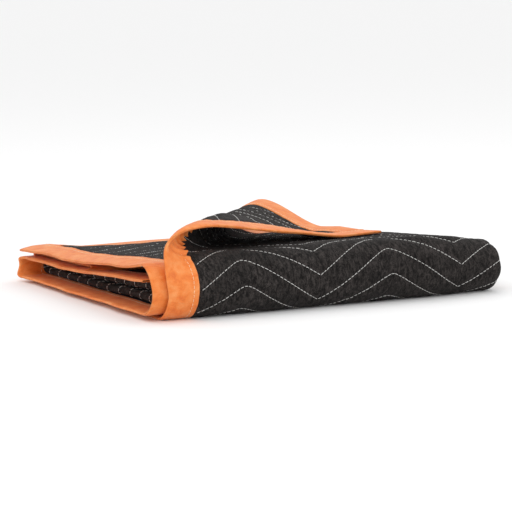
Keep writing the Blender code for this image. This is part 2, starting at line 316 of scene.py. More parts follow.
# place the cloth's middle surface, with its soft unevenness, before it is centred
def middleOfCloth(across, along):
    outer = across < acrossStart["outerFold"]
    roughY = spiral(along, along * 0)[0]
    x, layer = section(across, along, pitchAt(roughY))

    # the tucked corner and its crumple
    tucked = smooth((tuck["length"] - along) / tuck["slope"])
    tucked = tucked * np.clip(1 - across / tuck["reach"], 0, tuck["most"])
    x = x + np.where(outer, tuck["depth"] * tucked, 0.0)
    knot = near(along, crumple["place"], crumple["width"]) * smooth(1.0 - across / crumple["reach"])
    slant = across * crumple["slant"]
    wave = np.sin(2 * pi * (along - crumple["place"]) / crumple["pitch"] + slant)
    x = x - crumple["out"] * knot * (1.0 - crumple["outWave"] + crumple["outWave"] * wave)

    # the peeled corner
    topSide = outer & (along > alongStart["frontBend"])
    rolledX, rolledAlong, height = roll(x, along)
    x = np.where(topSide, rolledX, x)
    path = np.where(topSide, rolledAlong, along)
    height = np.where(topSide, height, 0.0)

    y, z, outY, outZ = spiral(path, layer)
    hangs = crumple["down"] * smooth(1.0 - across / crumple["downReach"])
    sunk = knot * (crumple["sinks"] + hangs)
    z = z - sunk * (1.0 - crumple["downWave"] + crumple["downWave"] * wave)

    # the inner side's edge droops on top
    onTop = (across > acrossStart["innerRun"]) & (along > alongStart["topArm"])
    toEdge = np.clip(1.0 - (clothAcross - across) / binding["width"], 0, 1)
    startIn = smooth((along - alongStart["topArm"] + droop["startsBefore"]) / droop["ramp"])
    back = (along - alongStart["topArm"]) / alongLong["topArm"]
    sag = startIn * (droop["front"] + (droop["back"] - droop["front"]) * back)
    toCorner = np.clip(1.0 - (clothAlong - along) / droop["cornerReach"], 0, 1)
    z = z - np.where(onTop, toEdge * (sag + droop["corner"] * toCorner), 0.0)

    # low down the roll stands off the layer, higher up it stands straight up
    standUp = smooth(height / peel["radii"][-1])
    y = y + height * outY * (1.0 - standUp)
    z = z + height * (outZ * (1.0 - standUp) + standUp)

    # looser, fuller or flatter ends
    pitch = pitchAt(y)
    end = np.interp(x, taper["places"], taper["shares"])
    toBack = np.clip((y - backCentre) / loose["length"] + 1.0, 0, 1)
    looser = loose["share"] * (np.clip(1.0 - x / loose["width"], 0, 1) * toBack)
    level = (z - halfCloth) / pitch
    room = (pitch * (1.0 + looser) - pad["thickness"]) / (pad["pitchFront"] - pad["thickness"])
    inFront = np.clip(1.0 + (y - frontCentre) / fullness["frontFade"], 0, 1)
    fuller = smooth(1.0 - np.maximum(x, 0) / fullness["width"]) * room * inFront
    lifted = fuller * np.interp(level, range(len(fullness["lifts"])), fullness["lifts"])
    z = halfCloth + (z - halfCloth) * (1.0 - taper["drop"] * end + looser) + lifted
    y = y + taper["back"] * end * (1.0 - y / pad["foldedDepth"])

    # the whole stack is a little uneven, the more the higher up
    lift = pad["uneven"] * ripple(x, y, pad["unevenSeed"], pad["unevenLengths"])
    z = halfCloth + (z - halfCloth) * (1.0 + lift)
    return np.stack([x, y, z], axis=-1)


# the cloth's outward direction, from four places close by
def clothNormal(across, along):
    step = 0.0004
    ahead = middleOfCloth(across + step, along) - middleOfCloth(across - step, along)
    aside = middleOfCloth(across, along + step) - middleOfCloth(across, along - step)
    normal = np.cross(ahead, aside)
    return normal / np.linalg.norm(normal, axis=-1, keepdims=True)


# a place on the open cloth, and a height above its middle, to the place in the folds
def place(across, along, lift):
    across, along, lift = (np.asarray(value, dtype=float) for value in (across, along, lift))
    raised = clothNormal(across, along) * lift[..., None]
    return middleOfCloth(across, along) + raised - padCentre


# a row's offset along the cloth: a valley at the outer side edge, then a peak
def zigzag(across):
    phase = across / pad["zigzagLength"] % 1.0
    tip = pad["zigzagTip"]
    wave = 1.0 - 4.0 * np.sqrt((phase - 0.5) ** 2 + tip ** 2) + 4.0 * tip
    return pad["zigzagRise"] / 2 * wave


firstRow = (alongStart["frontBend"] + 0.5 * pi * frontRadius + pad["rowShift"]) % pad["rowSpacing"]
rowCount = int((clothAlong + pad["zigzagRise"]) / pad["rowSpacing"]) + 2


# where a point lies between two rows of stitching: 0 on a row, 0.5 half way
def rowShare(across, along):
    share = (along - firstRow - zigzag(across)) / pad["rowSpacing"] % 1.0
    return np.minimum(share, 1.0 - share)


# The cloth's faces: puffs between the rows, and small puckers along them
quilt = {
    "puff": 0.0010,
    "dip": 0.0006,
    "hiddenPuff": 0.0004,
    "roundness": 0.7,
    "pucker": 0.00030,
    "rowWidth": 0.16,  # the puckers' reach from a row, a share of the spacing
    "nearRows": 1.6,
    "nearLengths": (0.011, 0.013, 0.017, 0.0085),
    "nearSeed": 31,
    "broad": 1.3,
    "broadLengths": (0.034, 0.047, 0.027, 0.021, 0.061),
    "broadSeed": 32,
    "boundHalf": 0.0007,  # half the room for the cloth inside a tape
    "hiddenHalf": 0.0003,  # half the cloth's thickness in there
    "beforeTape": 0.0015,
    "slope": 0.005,
    "rowOffsets": (0.0, 0.035, 0.09, 0.18, 0.34, 0.5),
    "bottomOffsets": (0.0, 0.2, 0.5),
    "margin": 0.02,  # how far the puffs run on past what shows
    "backMargin": 0.03,
    "floorGap": 0.0012,
}
binding = {
    "width": 0.043,
    "thickness": 0.0006,
    "clear": 0.0003,
    "shares": (0.0, 0.17, 0.34, 0.5, 0.67, 0.84, 1.0),
    "past": (0.0015, 0.004),  # the cloth's first places beside the tape
    "faceShares": (0.985, 0.93, 0.82, 0.62, 0.42, 0.24, 0.10),
    "rowInset": 0.0080,  # the sewn line, in from the tape's lip
    "rowHold": 0.0025,
    "station": 0.0048,
    "closeStation": 0.0014,
    "floorGap": 0.0006,
    "pucker": 0.00090,
    "puckerLengths": (0.0075, 0.0105, 0.0135, 0.019),
    "creaseLengths": (0.033, 0.052, 0.08),
    "gather": 0.0030,
    "gatherReach": 0.0030,
    "gatherPitch": 0.0118,
    "gatherLengths": (0.031, 0.019),
    "gatherDrift": 1.3,
    "gatherSeed": 77,
    "closeFrom": 0.04,  # the gathered stretch, from where the corner starts to peel
    "closeTo": 0.175,
    "gatherFrom": 0.045,
    "gatherRise": 0.025,
    "gatherTo": 0.165,
    "gatherFall": 0.035,
    "seeds": {"outerSide": 41, "innerSide": 51, "outerEnd": 61, "innerEnd": 71},
}


# how far a face stands off the cloth's middle: puffed where it shows, thin under the tapes
def faceRelief(across, along, side):
    share = rowShare(across, along)
    shape = np.sin(pi * share) ** quilt["roundness"]
    showing = (across < acrossStart["secondRun"]) & (side > 0)
    showing = showing & (along > alongStart["backBend"] - quilt["backMargin"])
    bottom = along > alongStart["bottomArm"]
    bottom = bottom & (along < alongStart["frontBend"] - quilt["margin"])
    underPeel = (across < acrossStart["outerFold"]) & (side < 0)
    underPeel = underPeel & (peelPlace(across, along)[0] > -quilt["margin"])
    innerTop = (across > acrossStart["innerRun"] + quilt["margin"]) & (side < 0)
    innerTop = innerTop & (along > alongStart["topArm"])
    full = (showing & ~bottom) | underPeel | innerTop
    relief = np.where(full, -quilt["dip"] + (quilt["dip"] + quilt["puff"]) * shape,
                      -quilt["hiddenPuff"] + quilt["hiddenPuff"] * shape)
    nearRow = np.exp(-(share / quilt["rowWidth"]) ** 2)
    small = ripple(across, along, quilt["nearSeed"], quilt["nearLengths"]) * nearRow
    broad = ripple(across, along, quilt["broadSeed"], quilt["broadLengths"])
    puckers = quilt["pucker"] * (quilt["nearRows"] * small + quilt["broad"] * broad)
    relief = relief + np.where(full, puckers, 0.0)
    fromEdge = np.minimum.reduce([across, clothAcross - across, along, clothAlong - along])
    inside = smooth((fromEdge - binding["width"] + quilt["beforeTape"]) / quilt["slope"])
    return quilt["hiddenHalf"] + inside * (halfCloth + relief - quilt["hiddenHalf"])


# How fine the cloth's grid is
grid = {
    "plainCount": 44,  # along the middle arm, which is hidden
    "plainFrom": 0.012,
    "rowsFrom": 0.06,
    "bottomFrom": 0.03,
    "bottomTo": 0.08,
    "swayRamp": 0.055,
    "waveCount": 44,
    "coarse": 0.032,
    "hidden": 0.04,
    "hiddenStop": 0.03,
    "roll": 0.006,
    "rollReach": 0.035,
    "inner": 0.011,
}


# the stations from an edge of the cloth to just past its tape
def rimStations():
    edge = binding["width"]
    return [edge * share for share in binding["shares"]] + [edge + step for step in binding["past"]]


# the stations along the cloth: (place, how much it follows the zigzag)
def alongStations():
    edge = binding["width"]
    justPast, past = binding["past"]
    first, last = alongStart["backBend"] - grid["rowsFrom"], clothAlong - edge - past
    middle = np.linspace(edge + grid["plainFrom"], first - grid["roll"], grid["plainCount"])
    plain = rimStations() + list(middle)
    stations = [(value, 0.0) for value in plain]
    row = int(np.ceil((first - firstRow) / pad["rowSpacing"]))
    while firstRow + row * pad["rowSpacing"] < last:
        base = firstRow + row * pad["rowSpacing"]
        afterBack, beforeFront = base - alongStart["bottomArm"], alongStart["frontBend"] - base
        onBottom = afterBack > grid["bottomFrom"] and beforeFront > grid["bottomTo"]
        offsets = quilt["bottomOffsets"] if onBottom else quilt["rowOffsets"]
        mirrored = [1.0 - value for value in reversed(offsets) if 0 < value < 0.5]
        for offset in list(offsets) + mirrored:
            value = base + offset * pad["rowSpacing"]
            rise = smooth((value - first) / grid["swayRamp"])
            sway = float(rise * smooth((last - value) / grid["swayRamp"]))
            if first - 0.002 < value < last - 0.002:
                stations.append((value, sway))
        row += 1
    stations += [(last, 0.0), (clothAlong - edge - justPast, 0.0)]
    stations += [(clothAlong - edge * share, 0.0) for share in reversed(binding["shares"])]
    return stations


def fold(name, pieces):
    start = acrossStart[name]
    return list(np.linspace(start, start + acrossLong[name], pieces + 1))


def evenly(start, end, step):
    count = max(1, round((end - start) / step))
    return list(np.linspace(start, end, count + 1))[1:-1]


# the stations across the cloth: fine on the outer layer and at the left end's folds
def acrossStations():
    rim = rimStations()
    second, left, third = (acrossStart[name] for name in ("secondRun", "leftFold", "thirdRun"))
    step = pad["zigzagLength"] / grid["waveCount"]
    fine = rim + evenly(rim[-1], runLength, step) + fold("outerFold", 10)
    coarse = rim + evenly(rim[-1], runLength, grid["coarse"]) + fold("outerFold", 10)
    rest = evenly(second, left - grid["hiddenStop"], grid["hidden"])
    rest += evenly(left - grid["rollReach"], left, grid["roll"]) + fold("leftFold", 8)
    rest += evenly(third, third + grid["rollReach"], grid["roll"])
    rest += evenly(third + grid["hiddenStop"], acrossStart["innerFold"], grid["hidden"])
    rest += fold("innerFold", 6)
    rest += evenly(acrossStart["innerRun"], clothAcross - rim[-1], grid["inner"])
    rest += [clothAcross - value for value in reversed(rim)]
    return fine, coarse, rest


# the cloth stays level under the side bindings, and the rows swing freely inside
def alongAt(across, station):
    value, sway = station
    swing = zigzag(np.maximum(across, binding["width"] + binding["past"][1]))
    swing = np.where(across < acrossStart["secondRun"], swing, 0.0)
    return value + sway * swing


# a mesh with its faces turned outwards
def newPiece(name, points, faces, material):
    mesh = bpy.data.meshes.new(name)
    mesh.from_pydata([tuple(point) for point in points], [], [tuple(face) for face in faces])
    mesh.validate()
    piece = bpy.data.objects.new(name, mesh)
    bpy.context.collection.objects.link(piece)
    mesh.materials.append(material)
    edit = bmesh.new()
    edit.from_mesh(mesh)
    bmesh.ops.recalc_face_normals(edit, faces=edit.faces)
    edit.to_mesh(mesh)
    edit.free()
    mesh.shade_smooth()
    return piece


# write each vertex's place on the open cloth, in metres, for the patterns that follow it
def writeClothPlace(piece, across, along):
    flat = piece.data.attributes.new("clothPlace", "FLOAT_VECTOR", "POINT")
    values = np.zeros((len(piece.data.vertices), 3))
    values[:, 0], values[:, 1] = across, along
    flat.data.foreach_set("vector", values.ravel())


# the cloth: a grid that is fine where the rows show, with an outer and an inner face
def makeQuiltedCloth(material):
    fine, coarse, rest = acrossStations()
    stations = alongStations()
    fineFrom = next(index for index, station in enumerate(stations) if station[1] > 0.0)
    fineRow, coarseRow = fine + rest, coarse + rest
    order, corners = {}, []

    def corner(value, index):
        key = (round(value, 7), index)
        if key not in order:
            order[key] = len(corners)
            corners.append((value, float(alongAt(np.float64(value), stations[index]))))
        return order[key]

    cells = []
    for index in range(len(stations) - 1):
        row = fineRow if index >= fineFrom else coarseRow
        for start, end in zip(row[:-1], row[1:]):
            cell = [corner(start, index), corner(end, index), corner(end, index + 1)]
            if index + 1 == fineFrom and end <= acrossStart["secondRun"] + 1e-9:
                between = [value for value in fine if start + 1e-7 < value < end - 1e-7]
                cell += [corner(value, index + 1) for value in reversed(between)]
            cell.append(corner(start, index + 1))
            cells.append(cell)
    across, along = np.array(corners).T
    outer = place(across, along, faceRelief(across, along, 1))
    inner = place(across, along, -faceRelief(across, along, -1))
    # what lies on the floor is flat there
    outer[:, 2] = np.maximum(outer[:, 2], 0.0)
    inner[:, 2] = np.maximum(inner[:, 2], quilt["floorGap"])
    count = len(corners)
    faces, sides = [], {}
    for cell in cells:
        faces.append(tuple(cell))
        faces.append(tuple(number + count for number in reversed(cell)))
        for a, b in zip(cell, cell[1:] + cell[:1]):
            if sides.pop((b, a), None) is None:
                sides[(a, b)] = True
    faces += [(b, a, a + count, b + count) for a, b in sides]
    piece = newPiece("quiltedCloth", np.concatenate([outer, inner]), faces, material)
    writeClothPlace(piece, np.tile(across, 2), np.tile(along, 2))
    return piece


# the binding's section, from the outer lip round the cloth's edge to the inner lip and back
def bindingRing():
    inner = quilt["boundHalf"] + binding["clear"]
    outer = inner + binding["thickness"]
    steps = [binding["width"] * share for share in binding["faceShares"]]
    lip = binding["width"] - 0.0002
    turns = np.linspace(0, pi, 7)
    ring = [(lip, inner + 0.0003)] + [(step, outer) for step in steps]
    ring += [(-outer * sin(turn), outer * cos(turn)) for turn in turns]
    ring += [(step, -outer) for step in reversed(steps)] + [(lip, -inner - 0.0003)]
    far = len(ring)
    ring += [(step, -inner) for step in steps]
    ring += [(-inner * sin(turn), -inner * cos(turn)) for turn in turns]
    ring += [(step, inner) for step in reversed(steps)]
    return np.array(ring), far


# the tape stands off in small puckers between its stitches, the most near the stitched lip
def bindingRelief(inward, run, lift, seed):
    toLip = smooth(inward / binding["width"])
    fine = ripple(run, inward * 0.35 + lift * 9, seed, binding["puckerLengths"])
    broad = ripple(run, inward * 0.6 + lift * 9, seed + 1, binding["creaseLengths"])
    held = 1.0 - 0.75 * near(inward, binding["width"] - binding["rowInset"], binding["rowHold"])
    waves = 0.55 + 0.45 * fine * (0.4 + 0.9 * toLip) + 0.35 * broad
    return np.maximum(binding["pucker"] * waves * held, 0.00002)


# a closed strip through the rings, which keeps each point's place on the tape
def makeStrip(name, rings, material, runs, inwards, lifts):
    count = rings.shape[1]
    points = rings.reshape(-1, 3)
    faces = []
    for ring in range(len(rings) - 1):
        for corner in range(count):
            following = (corner + 1) % count
            faces.append((ring * count + corner, ring * count + following,
                          (ring + 1) * count + following, (ring + 1) * count + corner))
    for first in (0, (len(rings) - 1) * count):
        last = first + count - 1
        for corner in range(count // 2 - 1):
            faces.append((first + corner, first + corner + 1, last - 1 - corner, last - corner))
    piece = newPiece(name, points, faces, material)
    flat = piece.data.attributes.new("tapePlace", "FLOAT_VECTOR", "POINT")
    values = np.stack([runs.ravel(), inwards.ravel(), np.sign(lifts.ravel()) * 0.1], axis=-1)
    flat.data.foreach_set("vector", values.ravel())
    return piece


# how strongly the outer side's tape is gathered where it goes over the roll's near end
def gathered(run):
    up = run - firstPeeled
    rise = smooth((up - binding["gatherFrom"]) / binding["gatherRise"])
    return rise * smooth((binding["gatherTo"] - up) / binding["gatherFall"])


# the place on the open cloth of a point on a tape: side tapes run along, end tapes across
def onEdge(edge, run, inward):
    return {
        "outerSide": (inward, run),
        "innerSide": (clothAcross - inward, run),
        "outerEnd": (run, clothAlong - inward),
        "innerEnd": (run, inward),
    }[edge]


# wrap a tape round one edge of the cloth
def makeBinding(edge, material, seed):
    ring, far = bindingRing()
    if edge in ("outerSide", "innerSide"):
        spill = binding["clear"] + binding["thickness"]
        run = np.linspace(-spill, clothAlong + spill, round(clothAlong / binding["station"]))
        if edge == "outerSide":
            close = np.arange(firstPeeled + binding["closeFrom"],
                              firstPeeled + binding["closeTo"], binding["closeStation"])
            before, after = run[run < close[0] - 0.001], run[run > close[-1] + 0.001]
            run = np.concatenate([before, close, after])
    else:
        first = binding["width"] + binding["clear"]
        run = np.linspace(first, clothAcross - first, round(clothAcross / binding["station"]))
        bends = fold("outerFold", 8) + fold("leftFold", 6) + fold("innerFold", 6)
        run = np.array(sorted(set(run) | set(bends)))
    runs = np.repeat(run[:, None], len(ring), axis=1)
    inwards = np.repeat(ring[None, :, 0], len(run), axis=0)
    lifts = np.repeat(ring[None, :, 1], len(run), axis=0)
    outside = np.arange(len(ring)) < far
    sign = np.where(lifts >= 0, 1.0, -1.0)
    relief = bindingRelief(np.maximum(inwards, 0), runs, sign * 0.004, seed) * outside[None, :]
    lifts = lifts + np.where(inwards < 0, 0.0, sign * relief)
    if edge == "outerSide":
        toLip = smooth(np.maximum(inwards, 0) / binding["width"]) ** 1.5
        drift = waver(runs, binding["gatherSeed"], binding["gatherLengths"])
        drift = binding["gatherDrift"] * drift
        wave = np.sin(2 * pi * runs / binding["gatherPitch"] + drift)
        strength = gathered(runs) * toLip
        outerFace = outside[None, :] & (sign > 0)
        lifts = lifts + np.where(outerFace, strength * binding["gather"] * (1.0 + wave), 0.0)
        inwards = inwards + np.where(outerFace, strength * binding["gatherReach"] * wave, 0.0)
    placed = place(*onEdge(edge, runs, inwards), lifts)
    floor = np.where(outside, 0.0, binding["floorGap"])
    placed[..., 2] = np.maximum(placed[..., 2], floor[None, :])
    return makeStrip(edge + "Binding", placed, material, runs, inwards, lifts)


# Stitches: one short, slightly bowed piece of thread, repeated along each row
stitching = {
    "pitch": 0.0062,
    "length": 0.0047,
    "thread": 0.00088,
    "tapeLength": 0.0044,
    "tapeThread": 0.00100,
    "sides": 5,
    "rings": 3,
    "bow": 0.00035,
    "slant": (0.05, 0.05, 0.10),
    "smallest": (0.86, 0.9, 0.9),
    "largest": (1.10, 1.1, 1.1),
    "sunk": 0.35,  # a share of the thread's width
    "aboveTape": 0.0003,
    "walk": 0.0015,  # the steps in which a row is followed
    "fewest": 6,
    "fromTape": 0.002,
    "underPeel": 0.03,  # how far short of the peel's line the rows still show
    "besidePeel": 0.06,
    "innerFrom": 0.05,
    "leftReach": 0.034,  # how far the rows are sewn from the left rolls' crest
    "seed": 7,
}


def addNode(tree, kind, **settings):
    node = tree.nodes.new(kind)
    for name, value in settings.items():
        setattr(node, name, value)
    return node


# one sum on two values, each a number or another node's output
def combine(tree, operation, first, second):
    node = addNode(tree, "ShaderNodeMath", operation=operation)
    for socket, value in zip(node.inputs, (first, second)):
        if isinstance(value, (int, float)):
            socket.default_value = value
        else:
            tree.links.new(value, socket)
    return node.outputs[0]


# a random vector between two others, drawn for each stitch
def drawVector(tree, low, high, seed):
    node = addNode(tree, "FunctionNodeRandomValue", data_type="FLOAT_VECTOR")
    node.inputs["Min"].default_value = low
    node.inputs["Max"].default_value = high
    tree.links.new(seed, node.inputs["Seed"])
    return node.outputs["Value"]


def namedVector(tree, name):
    node = addNode(tree, "GeometryNodeInputNamedAttribute", data_type="FLOAT_VECTOR")
    node.inputs["Name"].default_value = name
    return node.outputs["Attribute"]


# a tree that puts a thread stitch on every point, turned by the point's heading and facing
def stitchTree(name):
    tree = bpy.data.node_groups.new(name, "GeometryNodeTree")
    face, kind = tree.interface, "NodeSocket"
    face.new_socket("Geometry", in_out="INPUT", socket_type=kind + "Geometry")
    sockets = {}
    sizes = (("Stitch Length", "length"), ("Thread Width", "thread"), ("Bow", "bow"))
    for label, key in sizes:
        sockets[label] = face.new_socket(label, in_out="INPUT", socket_type=kind + "Float")
        sockets[label].default_value = stitching[key]
    for label, ending in (("Seed", "Int"), ("Material", "Material")):
        sockets[label] = face.new_socket(label, in_out="INPUT", socket_type=kind + ending)
    face.new_socket("Geometry", in_out="OUTPUT", socket_type=kind + "Geometry")
    given = addNode(tree, "NodeGroupInput")
    result = addNode(tree, "NodeGroupOutput")
    link = tree.links.new

    rod = addNode(tree, "GeometryNodeMeshCylinder", fill_type="NGON")
    rod.inputs["Vertices"].default_value = stitching["sides"]
    rod.inputs["Side Segments"].default_value = stitching["rings"]
    link(combine(tree, "MULTIPLY", given.outputs["Thread Width"], 0.5), rod.inputs["Radius"])
    link(given.outputs["Stitch Length"], rod.inputs["Depth"])
    lay = addNode(tree, "GeometryNodeTransform")
    lay.inputs["Rotation"].default_value = (0.0, pi / 2, 0.0)
    link(rod.outputs["Mesh"], lay.inputs["Geometry"])

    # the ends dip into the cloth, by the bow times the squared share of the length
    position = addNode(tree, "GeometryNodeInputPosition")
    split = addNode(tree, "ShaderNodeSeparateXYZ")
    link(position.outputs[0], split.inputs[0])
    share = combine(tree, "DIVIDE", split.outputs["X"], given.outputs["Stitch Length"])
    square = combine(tree, "MULTIPLY", share, share)
    drop = combine(tree, "MULTIPLY", square, given.outputs["Bow"])
    offset = addNode(tree, "ShaderNodeCombineXYZ")
    link(combine(tree, "MULTIPLY", drop, -4.0), offset.inputs["Z"])
    bow = addNode(tree, "GeometryNodeSetPosition")
    link(lay.outputs[0], bow.inputs["Geometry"])
    link(offset.outputs[0], bow.inputs["Offset"])

    turn = addNode(tree, "FunctionNodeAxesToRotation", primary_axis="Z", secondary_axis="X")
    link(namedVector(tree, "facing"), turn.inputs[0])
    link(namedVector(tree, "heading"), turn.inputs[1])
    least = tuple(-value for value in stitching["slant"])
    slant = drawVector(tree, least, stitching["slant"], given.outputs["Seed"])
    twist = addNode(tree, "FunctionNodeRotateRotation", rotation_space="LOCAL")
    link(turn.outputs[0], twist.inputs[0])
    link(slant, twist.inputs[1])
    size = drawVector(tree, stitching["smallest"], stitching["largest"], given.outputs["Seed"])

    points = addNode(tree, "GeometryNodeMeshToPoints")
    link(given.outputs["Geometry"], points.inputs["Mesh"])
    instances = addNode(tree, "GeometryNodeInstanceOnPoints")
    link(points.outputs[0], instances.inputs["Points"])
    link(bow.outputs[0], instances.inputs["Instance"])
    link(twist.outputs[0], instances.inputs["Rotation"])
    link(size, instances.inputs["Scale"])
    real = addNode(tree, "GeometryNodeRealizeInstances")
    link(instances.outputs[0], real.inputs["Geometry"])
    finish = addNode(tree, "GeometryNodeSetMaterial")
    link(real.outputs[0], finish.inputs["Geometry"])
    link(given.outputs["Material"], finish.inputs["Material"])
    link(finish.outputs[0], result.inputs[0])
    return tree, {label: socket.identifier for label, socket in sockets.items()}


threadTree, threadSockets = stitchTree("thread stitches")


# sew stitches at the given places, each with a heading along its row and a facing out of the cloth
def sew(name, places, headings, facings, material, length, width, seed):
    mesh = bpy.data.meshes.new(name + "Places")
    mesh.from_pydata([tuple(point) for point in places], [], [])
    for label, values in (("heading", headings), ("facing", facings)):
        attribute = mesh.attributes.new(label, "FLOAT_VECTOR", "POINT")
        attribute.data.foreach_set("vector", np.asarray(values, dtype=np.float32).ravel())
    carrier = bpy.data.objects.new(name + "Places", mesh)
    bpy.context.collection.objects.link(carrier)
    modifier = carrier.modifiers.new("stitches", "NODES")
    modifier.node_group = threadTree
    modifier[threadSockets["Stitch Length"]] = length
    modifier[threadSockets["Thread Width"]] = width
    modifier[threadSockets["Bow"]] = stitching["bow"]
    modifier[threadSockets["Seed"]] = seed
    modifier[threadSockets["Material"]] = material
    evaluated = carrier.evaluated_get(bpy.context.evaluated_depsgraph_get())
    finished = bpy.data.meshes.new_from_object(evaluated)
    carrier.modifiers.remove(modifier)
    bpy.data.objects.remove(carrier, do_unlink=True)
    # no stitch goes under the floor
    spots = np.zeros(len(finished.vertices) * 3)
    finished.vertices.foreach_get("co", spots)
    spots[2::3] = np.maximum(spots[2::3], 0.0)
    finished.vertices.foreach_set("co", spots)
    finished.name = name
    piece = bpy.data.objects.new(name, finished)
    bpy.context.collection.objects.link(piece)
    finished.shade_smooth()
    print("scene:", name, len(places), "stitches,", len(finished.polygons), "faces")
    return piece


# the middle, heading and facing of each stitch of a row: evenly spaced along the sewn line
def stitchesOn(across, along, side, lift):
    centre = place(across, along, lift * side)
    steps = np.linalg.norm(np.diff(centre, axis=0), axis=1)
    walked = np.concatenate([[0.0], np.cumsum(steps)])
    stops = np.arange(stitching["pitch"] / 2, walked[-1], stitching["pitch"])
    if len(stops) == 0:
        return None
    index = np.clip(np.searchsorted(walked, stops), 1, len(walked) - 1)
    share = (stops - walked[index - 1]) / (walked[index] - walked[index - 1])
    stopAcross = across[index - 1] + share * (across[index] - across[index - 1])
    stopAlong = along[index - 1] + share * (along[index] - along[index - 1])
    stopLift = lift[index - 1] + share * (lift[index] - lift[index - 1])
    at = place(stopAcross, stopAlong, stopLift * side)
    heading = centre[index] - centre[index - 1]
    facing = clothNormal(stopAcross, stopAlong) * side
    return at, heading, facing, stopAcross, stopAlong


# sew the zigzag rows over a stretch of the cloth, on one of its faces, where "keep" is true
def rowStitches(start, end, side, keep):
    found = []
    for row in range(-2, rowCount):
        across = np.arange(start, end, stitching["walk"])
        along = firstRow + row * pad["rowSpacing"] + zigzag(across)
        edge = binding["width"] + stitching["fromTape"]
        onCloth = (along > edge) & (along < clothAlong - edge)
        onCloth = onCloth & (across > edge) & (across < clothAcross - edge)
        across, along = across[onCloth], along[onCloth]
        if len(across) < stitching["fewest"]:
            continue
        breaks = np.where(np.diff(across) > 1.5 * stitching["walk"])[0] + 1
        for partAcross, partAlong in zip(np.split(across, breaks), np.split(along, breaks)):
            if len(partAcross) < stitching["fewest"]:
                continue
            lift = faceRelief(partAcross, partAlong, side) + stitching["thread"] * stitching["sunk"]
            sewn = stitchesOn(partAcross, partAlong, side, lift)
            if sewn is None:
                continue
            at, heading, facing, stopAcross, stopAlong = sewn
            kept = keep(stopAcross, stopAlong)
            found.append((at[kept], heading[kept], facing[kept]))
    return tuple(np.concatenate(group) for group in zip(*found))


def newMaterial(name):
    material = bpy.data.materials.new(name)
    material.use_nodes = True
    tree = material.node_tree
    return material, tree, tree.nodes["Principled BSDF"]


def grey(value):
    return (value, value, value, 1.0)


def noise(tree, vector, scale, detail, roughness, distortion):
    node = addNode(tree, "ShaderNodeTexNoise")
    node.inputs["Scale"].default_value = scale
    node.inputs["Detail"].default_value = detail
    node.inputs["Roughness"].default_value = roughness
    node.inputs["Distortion"].default_value = distortion
    tree.links.new(vector, node.inputs["Vector"])
    return node.outputs["Fac"]


def ramp(tree, fac, stops):
    node = addNode(tree, "ShaderNodeValToRGB")
    elements = node.color_ramp.elements
    while len(elements) < len(stops):
        elements.new(0.5)
    for element, (position, colour) in zip(elements, stops):
        element.position = position
        element.color = colour
    tree.links.new(fac, node.inputs["Fac"])
    return node.outputs["Color"]


def mapped(tree, vector, scale):
    node = addNode(tree, "ShaderNodeMapping")
    node.inputs["Scale"].default_value = scale
    tree.links.new(vector, node.inputs["Vector"])
    return node.outputs["Vector"]


def multiplied(tree, first, second):
    node = addNode(tree, "ShaderNodeMix", data_type="RGBA", blend_type="MULTIPLY")
    node.inputs[0].default_value = 1.0
    tree.links.new(first, node.inputs[6])
    tree.links.new(second, node.inputs[7])
    return node.outputs[2]


def mixFloats(tree, fac, first, second):
    node = addNode(tree, "ShaderNodeMix", data_type="FLOAT")
    node.inputs[0].default_value = fac
    tree.links.new(first, node.inputs[2])
    tree.links.new(second, node.inputs[3])
    return node.outputs[0]


def bump(tree, height, strength, distance, normal=None):
    node = addNode(tree, "ShaderNodeBump")
    node.inputs["Strength"].default_value = strength
    node.inputs["Distance"].default_value = distance
    tree.links.new(height, node.inputs["Height"])
    if normal is not None:
        tree.links.new(normal, node.inputs["Normal"])
    return node.outputs["Normal"]


# a roughness that varies with a pattern, and an even sheen and gloss
def setSurface(tree, shader, pattern, look):
    rough = addNode(tree, "ShaderNodeMapRange")
    rough.inputs["To Min"].default_value, rough.inputs["To Max"].default_value = look["roughness"]
    tree.links.new(pattern, rough.inputs["Value"])
    tree.links.new(rough.outputs[0], shader.inputs["Roughness"])
    shader.inputs["Sheen Weight"].default_value = look["sheen"]
    shader.inputs["Sheen Roughness"].default_value = look["sheenRoughness"]
    shader.inputs["Specular IOR Level"].default_value = look["specular"]


# Black needle-punched cloth: matted fibres, a pressed grain and a pale bloom of fine hairs
blackCloth = {
    "base": (0.0042, 0.0035, 0.0033, 1.0),
    "fleck": (0.052, 0.045, 0.0425, 1.0),
    "fleckFrom": 0.44,
    "fleckTo": 0.62,
    "worn": ((0.35, grey(0.80)), (0.70, grey(1.30))),
    "fibreScale": 620.0,
    "mattedScale": 235.0,
    "cloudScale": 17.0,
    "grainScale": 430.0,
    "roughness": (0.80, 1.00),
    "sheen": 0.02,
    "sheenRoughness": 0.45,
    "specular": 0.14,
}


